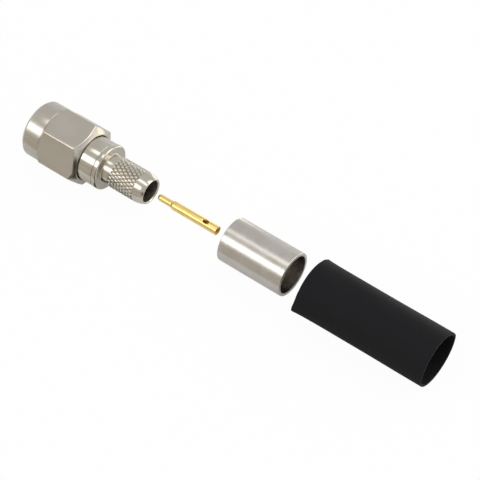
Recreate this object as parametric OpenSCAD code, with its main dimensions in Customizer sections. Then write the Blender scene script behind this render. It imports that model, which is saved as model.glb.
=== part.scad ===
// SMA plug for a crimped coaxial cable, laid out along its own axis in the order
// in which it goes together: body with its coupling nut, contact pin, crimp ferrule, sleeve.
// The origin is on the axis at the mating reference plane, the front edge of the outer
// contact. The mating side is towards -X and the cable side towards +X.

/* [Cable] */
// Diameter of the cable's inner conductor
conductor_d = 0.92; // [0.75:0.01:1.1]
// Diameter of the cable's dielectric
dielectric_d = 2.95; // [2.45:0.05:3.55]
// Room for the braid between the knurled stem and the ferrule, on the radius
braid_room = 0.47; // [0.35:0.01:0.65]

/* [Mating face] */
// Outside diameter of the outer contact
contact_d = 4.59; // [4.5:0.01:4.62]
// Length of the outer contact ahead of the gasket's seat
contact_length = 1.9; // [1.6:0.05:2.3]
// Major diameter of the coupling thread
thread_d = 6.35; // [6.3:0.05:6.8]
// Pitch of the coupling thread
thread_pitch = 0.7056; // [0.6:0.0001:0.85]

/* [Coupling nut] */
// Overall length of the nut
nut_length = 9.1; // [7.9:0.1:11]
// How far the nut reaches ahead of the reference plane
nut_overhang = 3; // [2.6:0.1:3.4]
// Length of the round collar ahead of the hexagon
collar_length = 2.9; // [2.4:0.1:3.5]
// Wall of the nut over the body, measured at its flats
nut_wall = 0.82; // [0.7:0.02:1]

/* [Body] */
// Diameter of the front body, inside the nut and just behind it
body_d = 6.36; // [6.3:0.02:7.6]
// Length of the front body behind the reference plane
body_length = 8.35; // [7.8:0.05:10]
// Length of the rear body's ring
ring_length = 0.76; // [0.6:0.02:0.9]
// Length of the smooth neck between the ring and the knurl
neck_length = 1.35; // [1:0.05:1.6]
// Length of the knurled band
knurl_length = 3.95; // [3.3:0.05:4.8]
// Diamonds around the knurled band
knurl_count = 24; // [20:1:28]
// Diamonds along the knurled band
knurl_rows = 4; // [3:1:5]
// Length of the plain rounded lead-in at the end of the stem
lead_length = 1.5; // [1.2:0.05:1.8]

/* [Contact pin] */
// Overall length of the contact pin
pin_length = 9.55; // [8:0.05:11.4]
// Diameter of the pin's mating end
pin_tip_d = 0.915; // [0.9:0.005:0.94]
// Length of the pin's mating end
pin_tip_length = 2.2; // [1.9:0.05:2.6]

/* [Ferrule and sleeve] */
// Overall length of the crimp ferrule
ferrule_length = 9.65; // [8:0.05:11.6]
// Wall of the ferrule
ferrule_wall = 0.42; // [0.35:0.01:0.5]
// Overall length of the shrink sleeve
sleeve_length = 18.65; // [15.5:0.05:22.4]
// Wall of the shrink sleeve
sleeve_wall = 0.34; // [0.28:0.01:0.4]
// How far the two creases of the sleeve stand out past its flatter sides
sleeve_crease = 0.5; // [0.3:0.05:0.7]
// Turn of the line through the creases, up from level
sleeve_turn = -3; // [-30:1:30]

/* [Layout] */
// Gap between the stem and the contact pin
pin_gap = 1.3; // [1:0.1:3]
// Gap between the contact pin and the ferrule
ferrule_gap = 2.15; // [1:0.05:4]
// Gap between the ferrule and the sleeve
sleeve_gap = 2.85; // [1:0.05:5]

/* [Hidden] */
$fn = 96;

// clearances, all on the radius
turning_clearance = 0.09;  // nut over the body
ring_clearance = 0.12;     // retaining ring in its grooves
cable_clearance = 0.075;   // stem over the dielectric
socket_clearance = 0.03;   // pin over the conductor, and insulator over the pin
bead_clearance = 0.01;     // body over the insulator
sleeve_clearance = 0.1;    // sleeve over the ferrule
edge = 0.1;                // broken edge of a turned part

// mating face
contact_wall = 0.24;
contact_r = contact_d / 2;
bead_bore_r = contact_r - contact_wall;
seat_step = 0.2;
seat_r = contact_r + seat_step;
seat_length = 0.65;
gasket_stand = 0.1;
gasket_width = 0.6;
gasket_r = seat_r + gasket_width;
gasket_round = 0.12;

// contact pin
pin_bore_r = conductor_d / 2 + socket_clearance;
pin_wall = 0.13;
pin_r = pin_bore_r + pin_wall;
pin_tip_r = pin_tip_d / 2;
pin_bore_depth = 0.36 * pin_length;
pin_shoulder = 0.3;
nose_length = 0.3;         // the blunt rounded nose, as two cones to the full radius
nose_blunt_length = 0.08;
nose_blunt_r = 0.78 * pin_tip_r;
nose_face_r = 0.5 * pin_tip_r;
window_r = 0.33;
window_from_end = 1.4;
window_slant = 30;

// front body
body_wall = 0.58;
flange_land = 0.65;
groove_width = 0.66;
groove_depth = 0.4;
bead_setback = 0.4;
spigot_length = 0.83;
body_r = body_d / 2;
spigot_r = body_r - body_wall;
flange_x = contact_length + seat_length;
groove_x = flange_x + flange_land;
bead_step_x = groove_x + groove_width + bead_setback;
bead_end_x = body_length - spigot_length;

// insulator
bead_web = 0.12;

// retaining ring
ring_out = 0.3;
ring_thickness = groove_width - ring_clearance;
ring_inner_r = body_r - groove_depth + ring_clearance / 2;
ring_outer_r = body_r + ring_out;
ring_opening = 24;

// coupling nut
thread_share = 0.92;       // of the pitch, from the major to the minor diameter
mouth_room = 0.05;
rear_rim = 0.15;
nut_bore_r = body_r + turning_clearance;
nut_flats_r = body_r + nut_wall;
nut_corner_r = nut_flats_r / cos(30);
nut_front_x = -nut_overhang;
nut_rear_x = nut_front_x + nut_length;
thread_minor_r = (thread_d - thread_share * thread_pitch) / 2;
thread_end_x = -0.1;
nut_mouth_r = thread_d / 2 + mouth_room;
nut_chamfer = 0.4;
nut_rear_r = nut_bore_r + rear_rim;
rear_slope = 30;
front_slope = 50;
hex_x = nut_front_x + collar_length;

// rear body
stem_wall = 0.63;          // at the peaks of the knurl
knurl_depth = 0.17;
knurl_seat = 0.02;         // how far the plain bar under the knurl is below its roots
knurl_sink = 0.06;
neck_drop = 0.09;          // these two are taken off the knurl's radius
lead_drop = 0.02;
lead_fall = 0.38;          // how far the lead-in curves down to the thin rim at its end
lead_steps = 6;
mouth_flare = 0.13;        // countersink of the stem's bore
back_ring_stand = 0.04;
back_ring_length = 0.25;   // the rounded rear edge of the ring
back_ring_drop = 0.28;
neck_foot = 0.05;
stem_bore_r = dielectric_d / 2 + cable_clearance;
knurl_r = stem_bore_r + stem_wall;
neck_r = knurl_r - neck_drop;
lead_r = knurl_r - lead_drop;
back_ring_r = body_r + back_ring_stand;
ring_face_r = back_ring_r - back_ring_drop;
ring_x = body_length;
ring_end_x = ring_x + ring_length;
knurl_x = ring_end_x + neck_length;
knurl_end_x = knurl_x + knurl_length;
stem_end_x = knurl_end_x + lead_length;
neck_fillet = 0.3;
knurl_root_r = knurl_r - knurl_depth;

// crimp ferrule and sleeve
ferrule_bore_r = knurl_r + braid_room;
ferrule_r = ferrule_bore_r + ferrule_wall;
sleeve_half_inner = ferrule_r + sleeve_clearance;
sleeve_half = sleeve_half_inner + sleeve_wall;
sleeve_reach = sleeve_half + sleeve_crease;
sleeve_arc_r = (sleeve_reach * sleeve_reach + sleeve_half * sleeve_half) / (2 * sleeve_half);

// layout along the axis
pin_x = stem_end_x + pin_gap;
pin_end_x = pin_x + pin_length;
ferrule_x = pin_end_x + ferrule_gap;
sleeve_x = ferrule_x + ferrule_length + sleeve_gap;

// A turned shape from an outline of [place along the axis, radius] points.
module turned(outline, turn = 360) {
    rotate([0, 90, 0])
        rotate_extrude(angle = turn)
            polygon([for (p = outline) [p[1], p[0]]]);
}

// A plain round bar along the axis.
module bar(r, x0, x1) {
    translate([x0, 0, 0]) rotate([0, 90, 0]) cylinder(h = x1 - x0, r = r);
}

module coupling_nut() {
    front_taper = (nut_corner_r - nut_flats_r) / tan(front_slope);
    rear_taper = (nut_corner_r - nut_rear_r) * tan(rear_slope);
    color([0.78, 0.76, 0.72]) difference() {
        union() {
            turned([
                [nut_front_x, 0], [nut_front_x, nut_flats_r - nut_chamfer],
                [nut_front_x + nut_chamfer, nut_flats_r], [hex_x + edge, nut_flats_r],
                [hex_x + edge, 0]]);
            intersection() {
                translate([hex_x, 0, 0]) rotate([0, 90, 0]) rotate([0, 0, 30])
                    cylinder(h = nut_rear_x - hex_x, r = nut_corner_r, $fn = 6);
                turned([
                    [hex_x, 0], [hex_x, nut_flats_r],
                    [hex_x + front_taper, nut_corner_r + edge / 10],
                    [nut_rear_x - rear_taper, nut_corner_r + edge / 10],
                    [nut_rear_x, nut_rear_r], [nut_rear_x, 0]]);
            }
        }
        bar(thread_minor_r, nut_front_x - 1, 1);
        turned([
            [nut_front_x - 1, 0], [nut_front_x - 1, nut_mouth_r + 1],
            [nut_front_x, nut_mouth_r], [nut_front_x + nut_mouth_r, 0]]);
        turned([
            [thread_end_x, 0], [thread_end_x, thread_minor_r],
            [thread_end_x + nut_bore_r - thread_minor_r, nut_bore_r],
            [nut_rear_x + 1, nut_bore_r], [nut_rear_x + 1, 0]]);
        turned([
            [nut_rear_x - edge, 0], [nut_rear_x - edge, nut_bore_r],
            [nut_rear_x, nut_bore_r + edge], [nut_rear_x + 1, nut_bore_r + edge],
            [nut_rear_x + 1, 0]]);
        bar(ring_outer_r + ring_clearance, groove_x - ring_clearance,
            groove_x + groove_width + ring_clearance);
    }
}

// The split spring ring that holds the nut on the body and lets it turn.
module retaining_ring() {
    x0 = groove_x + ring_clearance / 2;
    color([0.83, 0.74, 0.5]) rotate([ring_opening / 2, 0, 0])
        turned([
            [x0, ring_inner_r], [x0, ring_outer_r],
            [x0 + ring_thickness, ring_outer_r], [x0 + ring_thickness, ring_inner_r]],
            360 - ring_opening);
}

module gasket() {
    x0 = contact_length - gasket_stand;
    x1 = flange_x;
    color([0.72, 0.2, 0.13]) turned([
        [x0, seat_r], [x0, gasket_r - gasket_round], [x0 + gasket_round, gasket_r],
        [x1, gasket_r], [x1, seat_r]]);
}

// Outer contact, gasket seat and the round body that the nut turns on.
module front_body() {
    color([0.8, 0.77, 0.72]) difference() {
        turned([
            [0, 0], [0, contact_r - edge], [edge, contact_r],
            [contact_length, contact_r], [contact_length, seat_r],
            [flange_x, seat_r], [flange_x, body_r - edge],
            [flange_x + edge, body_r], [groove_x, body_r],
            [groove_x, body_r - groove_depth],
            [groove_x + groove_width, body_r - groove_depth],
            [groove_x + groove_width, body_r], [body_length - edge / 2, body_r],
            [body_length, body_r - edge / 2], [body_length, 0]]);
        bar(bead_bore_r, -1, bead_step_x + 1);
        bar(spigot_r, bead_step_x, body_length + 1);
    }
}

// The bead that holds the contact pin on the axis, flush with the reference plane.
module insulator() {
    color([0.95, 0.95, 0.93]) difference() {
        turned([
            [0, 0], [0, bead_bore_r - bead_clearance],
            [bead_step_x + bead_clearance, bead_bore_r - bead_clearance],
            [bead_step_x + bead_clearance, spigot_r - bead_clearance],
            [bead_end_x, spigot_r - bead_clearance], [bead_end_x, 0]]);
        bar(pin_tip_r + socket_clearance, -1, bead_web + 1);
        bar(pin_r + socket_clearance, bead_web, bead_end_x + 1);
    }
}

// The diamond knurl as one closed skin. Two sets of V grooves cross on a grid: every other
// point is a crossing at the root, and the points between are the peaks of the diamonds.
// A plain ring at each end sinks into the stem.
module knurl() {
    columns = 2 * knurl_count;
    rows = 2 * knurl_rows;
    step = knurl_length / rows;
    function place(row) = row < 0 ? knurl_x - knurl_sink
        : row > rows ? knurl_end_x + knurl_sink
        : knurl_x + row * step;
    function radius(column, row) = row < 0 || row > rows ? knurl_root_r - knurl_sink
        : (column + row) % 2 == 0 ? knurl_r : knurl_root_r;
    points = [for (row = [-1:rows + 1], column = [0:columns - 1])
        let (a = 360 * column / columns, r = radius(column, row))
            [place(row), r * cos(a), r * sin(a)]];
    function at(column, row) = (row + 1) * columns + column % columns;
    // each cell is cut from root to root, so that every diamond is a four-sided point
    sides = [for (row = [-1:rows], column = [0:columns - 1])
        let (a = at(column, row), b = at(column + 1, row),
             c = at(column + 1, row + 1), d = at(column, row + 1))
            each (column + row + columns) % 2 == 0 ? [[a, d, b], [b, d, c]] : [[a, c, b], [a, d, c]]];
    front = [for (column = [0:columns - 1]) at(column, -1)];
    back = [for (column = [0:columns - 1]) at(columns - 1 - column, rows + 1)];
    polyhedron(points = points, faces = concat(sides, [front, back]), convexity = 4);
}

// The rear body: a spigot pressed into the front body, a ring, and the knurled stem.
module crimp_stem() {
    foot_x = ring_end_x + neck_foot;
    color([0.78, 0.75, 0.7]) difference() {
        union() {
            turned([
                [bead_end_x, 0], [bead_end_x, spigot_r], [ring_x, spigot_r],
                [ring_x, back_ring_r - edge / 2], [ring_x + edge / 2, back_ring_r],
                each [for (a = [0:22.5:90])
                    [ring_end_x - back_ring_length * (1 - sin(a)),
                     ring_face_r + back_ring_drop * cos(a)]],
                [foot_x, neck_r + neck_fillet],
                [foot_x + neck_fillet / 2, neck_r + neck_fillet / 4],
                [foot_x + neck_fillet, neck_r],
                [knurl_x, neck_r], [knurl_x, knurl_root_r - knurl_seat],
                [knurl_end_x, knurl_root_r - knurl_seat],
                each [for (k = [0:lead_steps]) let (t = k / lead_steps)
                    [knurl_end_x + t * lead_length, lead_r - lead_fall * t * t]],
                [stem_end_x, 0]]);
            knurl();
        }
        bar(stem_bore_r, bead_end_x - 1, stem_end_x + 1);
        turned([
            [stem_end_x - mouth_flare, 0], [stem_end_x - mouth_flare, stem_bore_r],
            [stem_end_x + 1, stem_bore_r + mouth_flare + 1], [stem_end_x + 1, 0]]);
    }
}

module contact_pin() {
    x1 = pin_x + pin_tip_length;
    color([0.9, 0.73, 0.33]) difference() {
        turned([
            [pin_x, 0], [pin_x, nose_face_r], [pin_x + nose_blunt_length, nose_blunt_r],
            [pin_x + nose_length, pin_tip_r], [x1, pin_tip_r], [x1 + pin_shoulder, pin_r],
            [pin_end_x, pin_r], [pin_end_x, 0]]);
        bar(pin_bore_r, pin_end_x - pin_bore_depth, pin_end_x + 1);
        // the window through which the soldered or crimped conductor is seen
        translate([pin_end_x - window_from_end, 0, 0]) rotate([0, -window_slant, 0])
            cylinder(h = 3 * pin_r, r = window_r);
    }
}

module crimp_ferrule() {
    x1 = ferrule_x + ferrule_length;
    color([0.8, 0.78, 0.75]) difference() {
        turned([
            [ferrule_x, 0], [ferrule_x, ferrule_r - edge], [ferrule_x + edge, ferrule_r],
            [x1 - edge, ferrule_r], [x1, ferrule_r - edge], [x1, 0]]);
        bar(ferrule_bore_r, ferrule_x - 1, x1 + 1);
    }
}

// The lens between two equal arcs, taken in by the sleeve's wall for its inside.
module lens(take_in) {
    offset_to_centre = sleeve_arc_r - sleeve_half;
    intersection() {
        translate([offset_to_centre, 0]) circle(r = sleeve_arc_r - take_in);
        translate([-offset_to_centre, 0]) circle(r = sleeve_arc_r - take_in);
    }
}

// A tube that was stored flat: it has opened into a lens with a crease on each side.
module shrink_sleeve() {
    color([0.13, 0.13, 0.14]) translate([sleeve_x, 0, 0])
        rotate([-sleeve_turn, 0, 0]) rotate([0, 90, 0])
            linear_extrude(sleeve_length) difference() {
                lens(0);
                lens(sleeve_wall);
            }
}

coupling_nut();
retaining_ring();
gasket();
front_body();
insulator();
crimp_stem();
contact_pin();
crimp_ferrule();
shrink_sleeve();
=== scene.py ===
"""Looks of the SMA crimp plug: nickel, gold, and a black shrink sleeve on a white studio floor.

Lengths in the tables are in millimetres, along the plug's axis (place) and from it (radius).
"""
from math import asin, atan2, ceil, cos, exp, pi, radians, sin, tan, tau

import bmesh
import bpy
from mathutils import Matrix, Vector, noise

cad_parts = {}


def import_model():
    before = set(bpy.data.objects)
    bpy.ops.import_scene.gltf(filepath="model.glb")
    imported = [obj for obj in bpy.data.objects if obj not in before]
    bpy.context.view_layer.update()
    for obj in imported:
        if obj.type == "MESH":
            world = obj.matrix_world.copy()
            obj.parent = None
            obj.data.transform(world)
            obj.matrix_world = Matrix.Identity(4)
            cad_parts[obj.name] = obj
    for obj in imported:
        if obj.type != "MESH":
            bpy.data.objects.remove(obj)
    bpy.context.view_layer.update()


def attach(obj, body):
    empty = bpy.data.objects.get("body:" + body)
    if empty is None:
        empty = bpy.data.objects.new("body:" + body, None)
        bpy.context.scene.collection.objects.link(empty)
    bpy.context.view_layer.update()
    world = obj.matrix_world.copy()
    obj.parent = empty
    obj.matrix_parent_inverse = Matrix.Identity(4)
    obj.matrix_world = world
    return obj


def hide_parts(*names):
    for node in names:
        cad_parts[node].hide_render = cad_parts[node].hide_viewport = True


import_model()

MM = 0.001
AXIS = (1, 0, 0)
SEGMENTS = 192       # of a turned piece, all round
PIN_SEGMENTS = 96
EDGE_STEPS = 3       # of a rounded corner
STEP = 1 / (0.05 * MM)  # a mask times this goes from 0 to 1 over 0.05 mm

# ---------------------------------------------------------------- finishes


class Field:
    """What one socket of a finish gives, for use in arithmetic."""

    def __init__(self, finish, socket):
        self.finish, self.socket = finish, socket

    def _math(self, operation, *values):
        return self.finish.node("ShaderNodeMath", {"operation": operation}, dict(enumerate(values)))

    def __add__(self, other):
        return self._math("ADD", self, other)

    __radd__ = __add__

    def __sub__(self, other):
        return self._math("SUBTRACT", self, other)

    def __rsub__(self, other):
        return self._math("SUBTRACT", other, self)

    def __mul__(self, other):
        return self._math("MULTIPLY", self, other)

    __rmul__ = __mul__

    def __truediv__(self, other):
        return self._math("DIVIDE", self, other)

    def __pow__(self, other):
        return self._math("POWER", self, other)

    def clamped(self):
        return self.finish.node("ShaderNodeClamp", {}, {"Value": self})


class Finish:
    """The node tree of a material, or of the world, built node by node."""

    def __init__(self, name, world=False):
        self.material = (bpy.data.worlds if world else bpy.data.materials).new(name)
        self.material.use_nodes = True
        self.tree = self.material.node_tree
        self.tree.nodes.clear()

    def node(self, kind, settings, inputs, output=0):
        """Adds a node: first its settings, a ramp's stops among them, then its sockets' inputs."""
        node = self.tree.nodes.new(kind)
        for name, value in settings.items():
            if name == "stops":
                ramp = node.color_ramp.elements
                while len(ramp) < len(value):
                    ramp.new(1)
                for element, (position, shade) in zip(ramp, value):
                    element.position = position
                    element.color = (*shade, 1)
            else:
                setattr(node, name, value)
        for name, value in inputs.items():
            if isinstance(value, Field):
                self.tree.links.new(value.socket, node.inputs[name])
            else:
                node.inputs[name].default_value = value
        return Field(self, node.outputs[output])

    def place(self):
        return self.node("ShaderNodeTexCoord", {}, {}, "Object")

    def parts(self, vector):
        split = self.node("ShaderNodeSeparateXYZ", {}, {"Vector": vector})
        return [Field(self, split.socket.node.outputs[i]) for i in range(3)]

    def vector(self, x, y, z):
        return self.node("ShaderNodeCombineXYZ", {}, {"X": x, "Y": y, "Z": z})

    def grain(self, vector, scale, detail=2.0, roughness=0.5):
        """Noise from 0 to 1 with about `scale` features to the unit of the vector."""
        return self.node("ShaderNodeTexNoise", {}, {
            "Vector": vector, "Scale": scale, "Detail": detail, "Roughness": roughness})

    def between(self, factor, dark, light):
        """A colour from dark to light as the factor goes from 0 to 1."""
        dark, light = (
            shade if isinstance(shade, Field) else (*shade, 1) for shade in (dark, light))
        return self.node("ShaderNodeMix", {"data_type": "RGBA", "clamp_factor": True}, {
            "Factor": factor, "A": dark, "B": light}, "Result")

    def ramp(self, factor, stops):
        return self.node("ShaderNodeValToRGB", {"stops": stops}, {"Fac": factor})

    def around(self, place):
        """A point's place along the axis and its radius, in metres, and its angle round it."""
        x, y, z = self.parts(place)
        return x, (y * y + z * z) ** 0.5, self.node(
            "ShaderNodeMath", {"operation": "ARCTAN2"}, {0: y, 1: z})

    def bump(self, height, depth):
        return self.node("ShaderNodeBump", {}, {
            "Height": height, "Distance": depth, "Strength": 1.0})

    def surface(self, **sockets):
        """The material, finished with what the shader's sockets get: base_color, ior and so on."""
        named = {"IOR" if name == "ior" else name.replace("_", " ").title(): value
                 for name, value in sockets.items()}
        return self.shown_as(self.node("ShaderNodeBsdfPrincipled", {}, named))

    def shown_as(self, shader, output="ShaderNodeOutputMaterial"):
        end = self.tree.nodes.new(output)
        self.tree.links.new(shader.socket, end.inputs["Surface"])
        return self.material


def body_nickel():
    """Bright nickel over the fine rings that a lathe leaves; duller in the stem's drilled bore."""
    f = Finish("bright nickel")
    place = f.place()
    along, out, angle = f.around(place)
    rings = f.grain(f.vector(along, out, 0.0), 9000, 3, 0.6)
    waver = f.grain(f.vector(along, out, angle * 0.0006), 2600, 2)
    cloud = f.grain(place, 420, 3)
    tone = f.between((cloud - 0.35) * 2.4, (0.49, 0.455, 0.39), (0.56, 0.53, 0.47))
    drilled = (((STEM_BORE + 0.05) * MM - out) * STEP).clamped()
    return f.surface(
        base_color=tone,
        metallic=1.0,
        roughness=(cloud - 0.5) * 0.10 + (rings - 0.5) * 0.06 + drilled * 0.14 + 0.16,
        normal=f.bump(rings * 0.6 + waver * 0.4, 0.0010 * MM),
    )


def nut_nickel():
    """Nickel on the nut: turned rings on the round parts, and a finer milled grain on the flats."""
    f = Finish("nickel on the nut")
    place = f.place()
    along, out = f.around(place)[:2]
    rings = f.grain(f.vector(along, out, 0.0), 8000, 3, 0.6)
    cloud = f.grain(place, 300, 3)
    mottle = f.grain(place, 2600, 2)
    tone = f.between((cloud - 0.35) * 2.2, (0.49, 0.455, 0.395), (0.54, 0.51, 0.455))
    return f.surface(
        base_color=tone,
        metallic=1.0,
        roughness=(cloud - 0.5) * 0.08 + (mottle - 0.5) * 0.05 + 0.25,
        normal=f.bump(rings * 0.5 + mottle * 0.5, 0.0010 * MM),
    )


def drawn_nickel():
    """Nickel on the ferrule: drawn tube, with faint streaks along it and a cloudy plating."""
    f = Finish("nickel on the ferrule")
    place = f.place()
    along, out, angle = f.around(place)
    streaks = f.grain(f.vector(along * 0.12, angle * 0.003, out), 4200, 3, 0.6)
    cloud = f.grain(place, 520, 4, 0.6)
    spots = f.grain(place, 5200, 4, 0.7)
    tone = f.between((cloud - 0.35) * 2.2, (0.50, 0.468, 0.425), (0.56, 0.54, 0.51))
    return f.surface(
        base_color=tone,
        metallic=1.0,
        roughness=(cloud - 0.5) * 0.16 + (spots - 0.5) * 0.10 + 0.25,
        normal=f.bump(streaks * 0.3 + spots * 0.7, 0.014 * MM),
    )


def contact_gold():
    """Gold over fine turned rings, and duller inside the cup for the conductor."""
    f = Finish("gold on the contact")
    place = f.place()
    along, out = f.around(place)[:2]
    rings = f.grain(f.vector(along, out, 0.0), 12000, 2)
    cloud = f.grain(place, 900, 3)
    tone = f.between((cloud - 0.35) * 2.4, (0.80, 0.59, 0.20), (0.86, 0.66, 0.27))
    drilled = (((CUP_R + 0.05) * MM - out) * STEP).clamped() * ((along - 22 * MM) * STEP).clamped()
    return f.surface(
        base_color=tone,
        metallic=1.0,
        roughness=(cloud - 0.5) * 0.10 + drilled * 0.4 + 0.28,
        normal=f.bump(rings, 0.0008 * MM),
    )


def spring_bronze():
    """Bare rolled wire, with its grain running round the ring."""
    f = Finish("bronze of the ring")
    along, out, angle = f.around(f.place())
    rolled = f.grain(f.vector(along, out, angle * 0.0004), 7000, 3)
    tone = f.between(rolled, (0.56, 0.40, 0.20), (0.72, 0.55, 0.31))
    return f.surface(
        base_color=tone,
        metallic=1.0,
        roughness=rolled * 0.12 + 0.26,
        normal=f.bump(rolled, 0.0015 * MM),
    )


def bead_ptfe():
    """Waxy white bead, turned, that lets a little light in."""
    f = Finish("white bead")
    along, out = f.around(f.place())[:2]
    rings = f.grain(f.vector(along, out, 0.0), 6000, 3)
    tone = f.between(rings, (0.82, 0.82, 0.79), (0.88, 0.88, 0.86))
    return f.surface(
        base_color=tone,
        roughness=rings * 0.1 + 0.42,
        ior=1.36,
        subsurface_weight=0.35,
        subsurface_radius=(0.9, 0.9, 0.8),
        subsurface_scale=0.6 * MM,
        normal=f.bump(rings, 0.002 * MM),
    )


def gasket_silicone():
    """Dull red rubber."""
    f = Finish("silicone of the gasket")
    cloud = f.grain(f.place(), 2400, 3)
    tone = f.between(cloud, (0.36, 0.055, 0.03), (0.46, 0.075, 0.045))
    return f.surface(
        base_color=tone,
        roughness=cloud * 0.12 + 0.46,
        ior=1.42,
        normal=f.bump(cloud, 0.004 * MM),
    )


def sleeve_black():
    """Matte black shrink tube, with faint lines of extrusion along it."""
    f = Finish("black of the sleeve")
    place = f.place()
    along, out, angle = f.around(place)
    lines = f.grain(f.vector(along * 0.06, angle * 0.0035, out * 0.3), 2400, 3, 0.6)
    cloud = f.grain(place, 260, 4, 0.6)
    fine = f.grain(place, 9000, 2)
    tone = f.between((cloud - 0.35) * 2.2, (0.0050, 0.0050, 0.0062), (0.0078, 0.0076, 0.0094))
    return f.surface(
        base_color=tone,
        roughness=(cloud - 0.5) * 0.12 + 0.72,
        ior=1.26,
        normal=f.bump(lines * 0.5 + fine * 0.5, 0.006 * MM),
    )


# ---------------------------------------------------------------- shapes


def rounded_outline(bm, outline, closed):
    """Wire of (place, radius[, rounding]) points in millimetres, with its corners rounded."""
    points = [bm.verts.new((p[0] * MM, 0, p[1] * MM)) for p in outline]
    for a, b in zip(points, points[1:] + points[:1] if closed else points[1:]):
        bm.edges.new((a, b))
    roundings = {}
    for vertex, p in zip(points, outline):
        if len(p) > 2:
            roundings.setdefault(p[2], []).append(vertex)
    for rounding, corners in roundings.items():
        bmesh.ops.bevel(bm, geom=corners, offset=rounding * MM, offset_type="OFFSET",
                        segments=EDGE_STEPS, profile=0.5, affect="VERTICES", material=-1)


def spin(bm, steps=SEGMENTS, angle=tau):
    """Turns the wire about the axis, the whole way round if nothing else is said."""
    full = angle == tau
    bmesh.ops.spin(bm, geom=bm.verts[:] + bm.edges[:], cent=(0, 0, 0), axis=AXIS, dvec=(0, 0, 0),
                   angle=angle, steps=steps, use_merge=full, use_duplicate=False)
    bmesh.ops.remove_doubles(bm, verts=bm.verts, dist=1e-7)
    bmesh.ops.recalc_face_normals(bm, faces=bm.faces)


def poured_into(bm, other):
    """Adds another bmesh's faces to this one."""
    mesh = bpy.data.meshes.new("loan")
    other.to_mesh(mesh)
    other.free()
    bm.from_mesh(mesh)
    bpy.data.meshes.remove(mesh)


def cut_square(bm, start, end):
    """Keeps only what is between two places along the axis."""
    for place, side in ((start, -1), (end, 1)):
        bmesh.ops.bisect_plane(bm, geom=bm.verts[:] + bm.edges[:] + bm.faces[:], dist=1e-7,
                               plane_co=(place * MM, 0, 0), plane_no=(side, 0, 0),
                               clear_outer=True)


def joined_at(bm, middle):
    """Bridges the open rims on each side of a place along the axis, two and two."""
    rims = [e for e in bm.edges if e.is_boundary]
    for side in (-1, 1):
        bmesh.ops.bridge_loops(bm, edges=[e for e in rims
                                          if (e.verts[0].co.x - middle * MM) * side > 0])
    bmesh.ops.recalc_face_normals(bm, faces=bm.faces)


def finished(bm, name, body, material, stands_for, sharp=40):
    """Makes the mesh an object that rides on its body and stands for its CAD nodes."""
    mesh = bpy.data.meshes.new(name)
    bm.to_mesh(mesh)
    bm.free()
    mesh.shade_smooth()
    mesh.set_sharp_from_angle(angle=radians(sharp))
    piece = bpy.data.objects.new(name, mesh)
    bpy.context.scene.collection.objects.link(piece)
    mesh.materials.append(material)
    modifier = piece.modifiers.new("weighted normals", "WEIGHTED_NORMAL")
    modifier.keep_sharp = True
    modifier.weight = 80
    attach(piece, body)
    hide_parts(*stands_for)
    return piece


def turned(name, outline, body, material, stands_for):
    """A piece that is one closed outline turned about the axis."""
    bm = bmesh.new()
    rounded_outline(bm, outline, closed=True)
    spin(bm)
    return finished(bm, name, body, material, stands_for)


# ---------------------------------------------------------------- coupling nut

NUT_FLAT = 3.99
NUT_CORNER = NUT_FLAT / cos(pi / 6)
NUT_COLLAR = NUT_FLAT - 0.005
NUT_FRONT, NUT_REAR = -3.0, 6.1
NUT_REAR_R = 3.42
NUT_BORE, NUT_MOUTH = 3.27, 3.225
RING_GROOVE_FROM, RING_GROOVE_TO, RING_GROOVE_R = 3.08, 3.98, 3.6
HEX_FRONT, HEX_ROOT = -0.12, 3.93
HEX_ROUNDING = 0.085
FRONT_SLOPE, REAR_SLOPE = tan(radians(50)), tan(radians(30))
HEX_FRONT_RING, HEX_REAR_RING = 1, 2
THREAD_PITCH = 0.7056
THREAD_MAJOR, THREAD_MINOR = 3.185, 2.85
THREAD_FROM, THREAD_TO = -2.7, -0.2
THREAD_FLANK, THREAD_CREST = 0.36 * THREAD_PITCH, 0.16 * THREAD_PITCH


def hexagon_front(r):
    """Where the cone in front of the hexagon has this radius."""
    return HEX_FRONT + (r - HEX_ROOT) / FRONT_SLOPE


def hexagon_rear(r):
    """Where the cone behind the hexagon has this radius."""
    return NUT_REAR - (r - NUT_REAR_R) * REAR_SLOPE


def nut_thread():
    """The thread's flanks, wound along the axis and cut square at both ends."""
    thread = bmesh.new()
    start = THREAD_FROM - 2 * THREAD_PITCH
    turns = ceil((THREAD_TO - start) / THREAD_PITCH) + 1
    shape = [(0, THREAD_MAJOR), (THREAD_FLANK, THREAD_MINOR),
             (THREAD_FLANK + THREAD_CREST, THREAD_MINOR),
             (2 * THREAD_FLANK + THREAD_CREST, THREAD_MAJOR), (THREAD_PITCH, THREAD_MAJOR)]
    wire = [thread.verts.new(((start + x) * MM, 0, r * MM)) for x, r in shape]
    for a, b in zip(wire, wire[1:]):
        thread.edges.new((a, b))
    steps = SEGMENTS * turns
    bmesh.ops.spin(thread, geom=thread.verts[:] + thread.edges[:], cent=(0, 0, 0), axis=AXIS,
                   dvec=(THREAD_PITCH * turns * MM / steps, 0, 0), angle=tau * turns, steps=steps,
                   use_merge=False, use_duplicate=False)
    bmesh.ops.remove_doubles(thread, verts=thread.verts, dist=2e-6)
    cut_square(thread, THREAD_FROM, THREAD_TO)
    return thread


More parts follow.
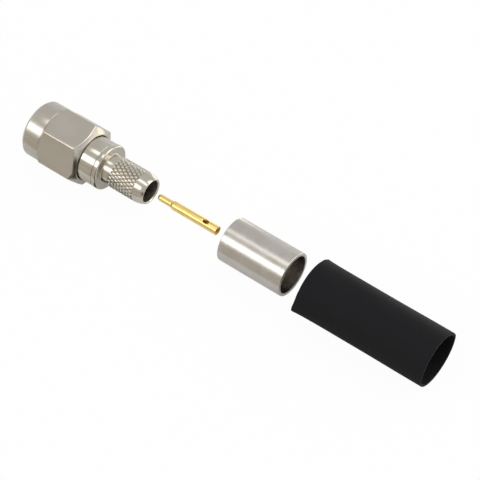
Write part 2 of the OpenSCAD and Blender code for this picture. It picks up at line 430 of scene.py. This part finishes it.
def coupling_nut(material):
    bm = bmesh.new()
    ring = bm.verts.layers.int.new("hexagon")
    # from the mouth round the outside to the bore behind the thread; the hexagon's two rings
    # start at its corners' radius, and are moved onto the flats below
    rounded_outline(bm, [
        (NUT_FRONT + 0.02, NUT_MOUTH), (NUT_FRONT, NUT_MOUTH + 0.05), (NUT_FRONT, 3.62, 0.06),
        (-2.62, NUT_COLLAR, 0.08), (-0.20, NUT_COLLAR, 0.03), (-0.17, HEX_ROOT),
        (HEX_FRONT, HEX_ROOT), (hexagon_front(NUT_CORNER), NUT_CORNER),
        (hexagon_rear(NUT_CORNER), NUT_CORNER), (NUT_REAR, NUT_REAR_R, 0.04),
        (NUT_REAR, NUT_BORE + 0.04, 0.02), (NUT_REAR - 0.04, NUT_BORE),
        (RING_GROOVE_TO, NUT_BORE, 0.02), (RING_GROOVE_TO, RING_GROOVE_R),
        (RING_GROOVE_FROM, RING_GROOVE_R), (RING_GROOVE_FROM, NUT_BORE, 0.02),
        (0.25, NUT_BORE), (0.05, THREAD_MAJOR)], closed=False)
    for vertex in bm.verts:
        if abs(vertex.co.z / MM - NUT_CORNER) < 1e-4:
            vertex[ring] = HEX_FRONT_RING if vertex.co.x < 2 * MM else HEX_REAR_RING
    spin(bm)
    corners = set()
    for vertex in bm.verts:
        if vertex[ring]:
            angle = atan2(vertex.co.y, vertex.co.z)
            off = (angle + pi / 6) % (pi / 3) - pi / 6
            r = NUT_FLAT / cos(off)
            x = hexagon_front(r) if vertex[ring] == HEX_FRONT_RING else hexagon_rear(r)
            vertex.co = (x * MM, r * MM * sin(angle), r * MM * cos(angle))
            if abs(abs(off) - pi / 6) < 1e-3:
                corners.add(vertex)
    edges = [e for e in bm.edges
             if e.verts[0][ring] and e.verts[1][ring]
             and (e.verts[0][ring] == e.verts[1][ring]
                  or (e.verts[0] in corners and e.verts[1] in corners))]
    bmesh.ops.bevel(bm, geom=edges, offset=HEX_ROUNDING * MM, offset_type="OFFSET", segments=2,
                    profile=0.5, affect="EDGES", clamp_overlap=False, material=-1)
    poured_into(bm, nut_thread())
    joined_at(bm, (THREAD_FROM + THREAD_TO) / 2)
    return finished(bm, "coupling_nut_shell", "coupling_nut", material,
                    ["coupling_nut"], sharp=32)


# ---------------------------------------------------------------- crimp stem

KNURL_FROM, KNURL_TO = 10.46, 14.41
KNURL_COUNT, KNURL_ROWS = 24, 4
KNURL_PIT, KNURL_SADDLE = 1.97, 2.07
# the rim of a diamond, as shares of its half length and half turn, and its rings up to the top
DIAMOND = ((-1, 0), (-0.5, 0.5), (0, 1), (0.5, 0.5), (1, 0), (0.5, -0.5), (0, -1), (-0.5, -0.5))
KNURL_STEPS = ((0.66, 2.15), (0.52, 2.173), (0.34, 2.18))
RING_FROM, RING_TO, RING_R = 8.36, 9.11, 3.22
NECK = 2.09
STEM_END, STEM_BORE = 15.91, 1.55
LEAD_R, LEAD_FALL = 2.16, 0.38
LEAD_PLACES = (0, 0.16, 0.32, 0.48, 0.64, 0.80, 0.92)
SEAT_X, SEAT_R = 7.54, 2.595


def knurl():
    """Diamonds between two crossing sets of grooves, each raised in steps from the groove floor."""
    skin = bmesh.new()
    half_length = (KNURL_TO - KNURL_FROM) / KNURL_ROWS / 2
    half_turn = pi / KNURL_COUNT

    def lifted(share, i, r):
        x, turn = DIAMOND[i]
        turn *= share * half_turn
        return Vector((KNURL_FROM + x * share * half_length, r * sin(turn), r * cos(turn))) * MM

    # one diamond at the front, with its corners in the pits where the grooves cross
    diamond = skin.faces.new([
        skin.verts.new(lifted(1, i, KNURL_SADDLE if i % 2 else KNURL_PIT))
        for i in range(len(DIAMOND))])
    for share, r in KNURL_STEPS:
        bmesh.ops.inset_individual(skin, faces=[diamond], thickness=0.01 * MM, depth=0)
        for i, vertex in enumerate(diamond.verts):
            vertex.co = lifted(share, i, r)
    # round the stem, then row by row, every other row half a diamond further round
    bmesh.ops.spin(skin, geom=skin.faces[:], cent=(0, 0, 0), axis=AXIS, dvec=(0, 0, 0),
                   angle=tau * (1 - 1 / KNURL_COUNT), steps=KNURL_COUNT - 1, use_duplicate=True)
    band = skin.verts[:] + skin.edges[:] + skin.faces[:]
    for row in range(1, 2 * KNURL_ROWS + 1):
        copy = bmesh.ops.duplicate(skin, geom=band)["geom"]
        verts = [g for g in copy if isinstance(g, bmesh.types.BMVert)]
        bmesh.ops.rotate(skin, verts=verts, cent=(0, 0, 0),
                         matrix=Matrix.Rotation(half_turn * (row % 2), 3, "X"))
        bmesh.ops.translate(skin, verts=verts, vec=(row * half_length * MM, 0, 0))
    bmesh.ops.remove_doubles(skin, verts=skin.verts, dist=2e-6)
    cut_square(skin, KNURL_FROM, KNURL_TO)
    return skin


def crimp_stem(material):
    bm = bmesh.new()
    # from the knurl's rear over the lead-in, through the bore, and forward to the knurl's front
    lead = [(KNURL_TO + t * (STEM_END - KNURL_TO), LEAD_R - LEAD_FALL * t * t)
            for t in LEAD_PLACES]
    rounded_outline(bm, lead + [
        (STEM_END, LEAD_R - LEAD_FALL, 0.04), (STEM_END, STEM_BORE + 0.13, 0.03),
        (STEM_END - 0.13, STEM_BORE, 0.02), (SEAT_X, STEM_BORE, 0.04), (SEAT_X, SEAT_R, 0.04),
        (RING_FROM, SEAT_R), (RING_FROM, RING_R, 0.07), (RING_TO, RING_R, 0.22),
        (RING_TO, NECK, 0.10), (KNURL_FROM, NECK)], closed=False)
    spin(bm)
    poured_into(bm, knurl())
    joined_at(bm, (KNURL_FROM + KNURL_TO) / 2)
    return finished(bm, "crimp_stem_turned", "connector_body", material,
                    ["crimp_stem"], sharp=32)


# ---------------------------------------------------------------- contact pin

PIN_R, TIP_R = 0.62, 0.4575
PIN_FRONT, PIN_END = 17.21, 26.76
CUP_FLOOR, CUP_R = 23.34, 0.49
WINDOW_R, WINDOW_X, WINDOW_SLANT = 0.32, 25.72, radians(56)


def cut(target, cutter):
    """The target's bmesh less the cutter's, as a new bmesh."""
    objects = []
    for name, bm in (("target", target), ("cutter", cutter)):
        mesh = bpy.data.meshes.new(name)
        bm.to_mesh(mesh)
        bm.free()
        objects.append(bpy.data.objects.new(name, mesh))
        bpy.context.scene.collection.objects.link(objects[-1])
    modifier = objects[0].modifiers.new("cut", "BOOLEAN")
    modifier.operation, modifier.solver, modifier.object = "DIFFERENCE", "EXACT", objects[1]
    evaluated = objects[0].evaluated_get(bpy.context.evaluated_depsgraph_get())
    result = bmesh.new()
    result.from_mesh(evaluated.to_mesh())
    evaluated.to_mesh_clear()
    for o in objects:
        mesh = o.data
        bpy.data.objects.remove(o)
        bpy.data.meshes.remove(mesh)
    return result


def contact_pin(material):
    bm = bmesh.new()
    rounded_outline(bm, [
        (PIN_FRONT, 0.0), (PIN_FRONT, 0.24, 0.12), (PIN_FRONT + 0.10, 0.375, 0.10),
        (PIN_FRONT + 0.34, TIP_R, 0.10), (19.40, TIP_R, 0.06), (19.71, PIN_R, 0.06),
        (PIN_END, PIN_R, 0.035), (PIN_END, CUP_R, 0.03), (CUP_FLOOR, CUP_R, 0.05),
        (CUP_FLOOR - 0.13, 0.0)], closed=False)
    spin(bm, steps=PIN_SEGMENTS)
    # a drill that stops inside the cup, leaning towards the pin's front
    window = bmesh.new()
    bmesh.ops.create_cone(window, cap_ends=True, segments=48, radius1=WINDOW_R * MM,
                          radius2=WINDOW_R * MM, depth=4 * MM)
    bmesh.ops.translate(window, verts=window.verts, vec=(0, 0, 2.15 * MM))
    bmesh.ops.rotate(window, verts=window.verts, cent=(0, 0, 0),
                     matrix=Matrix.Rotation(-WINDOW_SLANT, 3, "Y"))
    bmesh.ops.translate(window, verts=window.verts, vec=(WINDOW_X * MM, 0, 0))
    bm = cut(bm, window)
    bmesh.ops.remove_doubles(bm, verts=bm.verts, dist=1e-7)
    return finished(bm, "contact_pin_turned", "contact_pin", material,
                    ["contact_pin"], sharp=35)


# ---------------------------------------------------------------- shrink sleeve

SLEEVE_FROM, SLEEVE_TO = 41.41, 60.05
SLEEVE_HALF, SLEEVE_REACH, SLEEVE_WALL = 3.51, 4.01, 0.34
SLEEVE_TURN = radians(-3)
SLEEVE_ARC_STEPS, SLEEVE_ROWS = 72, 46
PINCH, PINCH_LENGTH, PINCH_TURN = 0.20, 1.7, radians(16)
WAVE_DEPTH, WAVE_ALONG, WAVE_ROUND, WAVE_START = 0.03, 0.16, 1.3, Vector((3, 7, 1))


def shrink_sleeve(material):
    """A thin wall along two equal arcs that meet in a crease on each side, a little uneven."""
    bm = bmesh.new()
    arc_r = (SLEEVE_REACH ** 2 + SLEEVE_HALF ** 2) / (2 * SLEEVE_HALF)
    set_in = arc_r - SLEEVE_HALF
    sweep = asin(SLEEVE_REACH / arc_r)
    wire = []
    for side in (1, -1):
        for i in range(SLEEVE_ARC_STEPS):
            t = side * (sweep - 2 * sweep * i / SLEEVE_ARC_STEPS)
            z, y = side * (arc_r * cos(t) - set_in), arc_r * sin(t)
            wire.append(bm.verts.new((SLEEVE_FROM * MM, y * MM, z * MM)))
    for a, b in zip(wire, wire[1:] + wire[:1]):
        bm.edges.new((a, b))
    front = bm.edges[:]
    for _ in range(SLEEVE_ROWS):
        grown = bmesh.ops.extrude_edge_only(bm, edges=front)["geom"]
        front = [g for g in grown if isinstance(g, bmesh.types.BMEdge)]
        bmesh.ops.translate(bm, verts=[g for g in grown if isinstance(g, bmesh.types.BMVert)],
                            vec=((SLEEVE_TO - SLEEVE_FROM) / SLEEVE_ROWS * MM, 0, 0))
    for v in bm.verts:
        # long shallow waves, and a front end that the scissors pinched out at its creases
        out = Vector((0, v.co.y, v.co.z)).normalized()
        wave = noise.noise(WAVE_START + Vector((
            v.co.x / MM * WAVE_ALONG, out.y * WAVE_ROUND, out.z * WAVE_ROUND)))
        near_crease = exp(-(asin(min(1, abs(out.z))) / PINCH_TURN) ** 2)
        pinch = PINCH * near_crease * exp(-(v.co.x / MM - SLEEVE_FROM) / PINCH_LENGTH)
        v.co += out * ((wave - 0.9) * WAVE_DEPTH + pinch) * MM
        v.co.x -= pinch * 0.9 * MM
    bmesh.ops.rotate(bm, verts=bm.verts, cent=(0, 0, 0),
                     matrix=Matrix.Rotation(-SLEEVE_TURN, 3, "X"))
    bmesh.ops.recalc_face_normals(bm, faces=bm.faces)
    bmesh.ops.solidify(bm, geom=bm.faces[:], thickness=SLEEVE_WALL * MM)
    bmesh.ops.recalc_face_normals(bm, faces=bm.faces)
    rims = [e for e in bm.edges if len(e.link_faces) == 2
            and abs(e.verts[0].co.x - e.verts[1].co.x) < 1e-7
            and e.calc_face_angle(0) > radians(60)]
    bmesh.ops.bevel(bm, geom=rims, offset=0.07 * MM, offset_type="OFFSET", segments=2, profile=0.5,
                    affect="EDGES", clamp_overlap=True, material=-1)
    return finished(bm, "shrink_sleeve_tube", "shrink_sleeve", material,
                    ["shrink_sleeve"], sharp=50)


# ---------------------------------------------------------------- retaining ring

RING_GAP, RING_GAP_AT = radians(24), radians(-90)


def retaining_ring(material):
    """A square wire that goes most of the way round, with a gap to spring it shut."""
    bm = bmesh.new()
    rounded_outline(bm, [
        (3.26, 2.84, 0.08), (3.26, 3.48, 0.08), (3.80, 3.48, 0.08), (3.80, 2.84, 0.08)],
        closed=True)
    bmesh.ops.rotate(bm, verts=bm.verts, cent=(0, 0, 0),
                     matrix=Matrix.Rotation(RING_GAP / 2 + RING_GAP_AT, 3, "X"))
    spin(bm, steps=168, angle=tau - RING_GAP)
    bmesh.ops.holes_fill(bm, edges=[e for e in bm.edges if e.is_boundary])
    bmesh.ops.recalc_face_normals(bm, faces=bm.faces)
    return finished(bm, "retaining_ring_spring", "connector_body", material,
                    ["retaining_ring"])


# ---------------------------------------------------------------- the object

nickel = body_nickel()

coupling_nut(nut_nickel())
crimp_stem(nickel)
contact_pin(contact_gold())
shrink_sleeve(sleeve_black())

# round the contact tube, the gasket's seat, the groove for the ring, and the bore for the stem
turned("front_body_turned", [
    (0, 2.055, 0.03), (0, 2.295, 0.05), (1.9, 2.295), (1.9, 2.495), (2.55, 2.495),
    (2.55, 3.18, 0.06), (3.2, 3.18, 0.03), (3.2, 2.78), (3.86, 2.78), (3.86, 3.18, 0.03),
    (8.34, 3.18, 0.09), (8.34, 2.605), (4.26, 2.605), (4.26, 2.055)],
    "connector_body", nickel, ["front_body"])

turned("insulator_bead", [
    (0, 0.4875, 0.03), (0, 2.045, 0.05), (4.27, 2.045), (4.27, 2.59, 0.08), (7.52, 2.59, 0.08),
    (7.52, 0.65, 0.05), (0.12, 0.65), (0.12, 0.4875)],
    "connector_body", bead_ptfe(), ["insulator"])

turned("gasket_ring", [
    (2.545, 2.50), (1.80, 2.50, 0.05), (1.80, 3.095, 0.18), (2.545, 3.095, 0.08)],
    "connector_body", gasket_silicone(), ["gasket"])

turned("crimp_ferrule_tube", [
    (28.91, 2.65, 0.06), (28.91, 3.07, 0.12), (38.56, 3.07, 0.12), (38.56, 2.65, 0.06)],
    "crimp_ferrule", drawn_nickel(), ["crimp_ferrule"])

retaining_ring(spring_bronze())

# ---------------------------------------------------------------- studio

FLOOR_Z = -4.004
CARD_LIFT = 0.02
WHITE, BLACK = (1.0, 1.0, 1.0), (0.0, 0.0, 0.0)


def seen(tree, in_metal):
    """1 for what the lens sees, `in_metal` for what metal shows, 0 for what lights the object."""
    path = tree.node("ShaderNodeLightPath", {}, {}, "Is Camera Ray")
    outputs = path.socket.node.outputs
    return (path + Field(tree, outputs["Is Glossy Ray"]) * in_metal
            + Field(tree, outputs["Is Transmission Ray"])).clamped()


def floor():
    """A wide pale disc under the nut's lowest flat, white to the lens but for the shadow."""
    bm = bmesh.new()
    bmesh.ops.create_circle(bm, cap_ends=True, segments=96, radius=3.0)
    bmesh.ops.translate(bm, verts=bm.verts, vec=(0.03, 0, FLOOR_Z * MM))
    mesh = bpy.data.meshes.new("floor")
    bm.to_mesh(mesh)
    bm.free()
    table = bpy.data.objects.new("floor", mesh)
    bpy.context.scene.collection.objects.link(table)
    f = Finish("pale floor")
    matt = f.node("ShaderNodeBsdfDiffuse", {}, {"Color": (0.86, 0.86, 0.86, 1)})
    glow = f.node("ShaderNodeEmission", {}, {"Color": (*WHITE, 1), "Strength": 1.0})
    mesh.materials.append(f.shown_as(f.node("ShaderNodeMixShader", {}, {
        0: seen(f, 0.12) * 0.96, 1: matt, 2: glow})))


def world():
    """Even light on the object, and white round it, with the room that polished metal shows.

    The room is warm and greyer on the near side, with a dark corner past the sleeve's end: both are
    painted shade that only metal shows, for the floor less lit on the near side and in the plug's
    shadow."""
    f = Finish("studio", world=True)
    lit = f.node("ShaderNodeBackground", {}, {"Color": (*WHITE, 1), "Strength": 0.55})
    ahead, side, height = f.parts(f.node("ShaderNodeTexCoord", {}, {}, "Generated"))
    near = f.ramp(side * -1, [(0.0, BLACK), (0.25, BLACK), (0.55, WHITE), (1.0, WHITE)])
    # painted shade: the floor on the near side, warm and greyer in metal, as if less lit
    warm, plain = (0.64, 0.60, 0.53), (0.79, 0.79, 0.78)
    low = f.ramp(height, [(0.0, warm), (0.3, warm), (0.5, plain), (1.0, plain)])
    far = f.ramp(height, [(0.0, WHITE), (0.04, WHITE), (0.22, plain), (1.0, plain)])
    # painted shade: this dark corner stands for the floor in the plug's shadow, as metal shows it
    corner = (((ahead - 0.20) * 8).clamped() * ((0.60 - ahead) * 8).clamped()
              * ((0.45 - height) * 8).clamped() * near)
    in_metal = f.between(corner, f.between(near, far, low), (0.08, 0.062, 0.045))
    backdrop = f.between(f.node("ShaderNodeLightPath", {}, {}, "Is Glossy Ray"), WHITE, in_metal)
    shown = f.node("ShaderNodeBackground", {}, {"Color": backdrop, "Strength": 1.0})
    mixed = f.node("ShaderNodeMixShader", {}, {0: seen(f, 1.0), 1: lit, 2: shown})
    bpy.context.scene.world = f.shown_as(mixed, "ShaderNodeOutputWorld")


def facing(middle, out):
    """A place in millimetres, with the local X along the plug and the local Z along `out`."""
    back = Vector(out).normalized()
    along = (Vector(AXIS) - back * back.x).normalized()
    return Matrix.Translation(Vector(middle) * MM) @ Matrix(
        (along, back.cross(along), back)).transposed().to_4x4()


def softbox(name, middle, aim, length, width, radiance):
    """An area lamp, in millimetres, that shines from its middle at a point on the plug's axis."""
    data = bpy.data.lights.new(name, "AREA")
    data.shape, data.size, data.size_y = "RECTANGLE", length * MM, width * MM
    data.energy = radiance * pi * data.size * data.size_y
    lamp = bpy.data.objects.new(name, data)
    lamp.matrix_world = facing(middle, Vector(middle) - Vector((aim, 0, 0)))
    bpy.context.scene.collection.objects.link(lamp)


def card(name, corner, opposite, shade, across=None, soft=False):
    """A dark or bright sheet that only polished metal shows: the dark and grey ones are painted
    shade, the bright ones glow brighter than white as painted reflections of light, though no lamp;
    a soft one fades out at its edges.

    It lies on the floor from one corner to the other, or stands `across` the plug's axis."""
    bm = bmesh.new()
    bmesh.ops.create_grid(bm, x_segments=1, y_segments=1, size=0.5)
    (u0, v0), (u1, v1) = corner, opposite
    bmesh.ops.scale(bm, verts=bm.verts, vec=((u1 - u0) * MM, (v1 - v0) * MM, 1))
    bmesh.ops.translate(bm, verts=bm.verts, vec=((u0 + u1) / 2 * MM, (v0 + v1) / 2 * MM, 0))
    if across is None:
        bmesh.ops.translate(bm, verts=bm.verts, vec=(0, 0, (FLOOR_Z + CARD_LIFT) * MM))
    else:
        bmesh.ops.transform(bm, verts=bm.verts, matrix=Matrix(
            ((0, 0, 1, across * MM), (1, 0, 0, 0), (0, 1, 0, 0), (0, 0, 0, 1))))
    mesh = bpy.data.meshes.new(name)
    bm.to_mesh(mesh)
    bm.free()
    sheet = bpy.data.objects.new(name, mesh)
    bpy.context.scene.collection.objects.link(sheet)
    sheet.visible_camera = sheet.visible_diffuse = sheet.visible_shadow = False
    sheet.visible_transmission = sheet.visible_volume_scatter = False
    f = Finish(name)
    surface = f.node("ShaderNodeEmission", {}, {"Color": (*shade, 1), "Strength": 1.0})
    if soft:
        u, v = f.parts(f.place())[:2] if across is None else f.parts(f.place())[1:]
        u = (u - (u0 + u1) / 2 * MM) / ((u1 - u0) / 2 * MM)
        v = (v - (v0 + v1) / 2 * MM) / ((v1 - v0) / 2 * MM)
        middle = ((1 - u * u) * 1.6).clamped() * ((1 - v * v) * 1.6).clamped()
        clear = f.node("ShaderNodeBsdfTransparent", {}, {})
        surface = f.node("ShaderNodeMixShader", {}, {0: middle, 1: clear, 2: surface})
    mesh.materials.append(f.shown_as(surface))


def camera():
    """High on the near side, past the sleeve's end, looking down on the row of pieces."""
    data = bpy.data.cameras.new("camera")
    data.lens, data.sensor_width = 133.5, 36
    data.clip_start, data.clip_end = 0.01, 20
    eye = bpy.data.objects.new("camera", data)
    right, up, back = (Vector((0.7969, 0.6007, -0.0620)), Vector((-0.4732, 0.6847, 0.5535)),
                       Vector((0.3756, -0.4118, 0.8300)))
    roll = Matrix.Rotation(radians(-0.4), 3, back)
    turn = roll @ Matrix((right, up, back)).transposed()
    eye.matrix_world = Matrix.Translation((0.1145606, -0.0923606, 0.1871796)) @ turn.to_4x4()
    bpy.context.scene.collection.objects.link(eye)
    bpy.context.scene.camera = eye


floor()
world()
# above the left shoulder, straight above, and low on the far right
softbox("key", (-200, -374, 410), 28, 700, 264, 2.15)
softbox("top", (45, 30, 553), 45, 510, 150, 1.55)
softbox("side", (332, 326, 326), 28, 460, 420, 1.9)
# painted shade that only metal shows: the floor on the near side, greyer as if less lit
card("painted shade grey card", (-160, -170), (40, -13), (0.64, 0.60, 0.53))
# painted highlights: glowing sheets on the floor to the far right, no lamps, that only metal shows
card("painted highlight card", (36, 14), (320, 200), (1.9, 1.85, 1.7))
card("small painted highlight card", (10, 10), (23, 32), (2.3, 2.22, 2.0))
# painted shade that only metal shows: the floor's shadow under the ring and neck, and a standing
# sheet beside the neck for the shade that the ring's face and the neck show
card("painted shadow card", (7.0, -7.5), (10.6, -3.2), (0.06, 0.05, 0.035), soft=True)
card("standing painted shade card", (-6.2, FLOOR_Z), (-3.1, 3.0), (0.05, 0.042, 0.03), across=9.6, soft=True)
camera()
bpy.context.scene.view_settings.view_transform = "Standard"
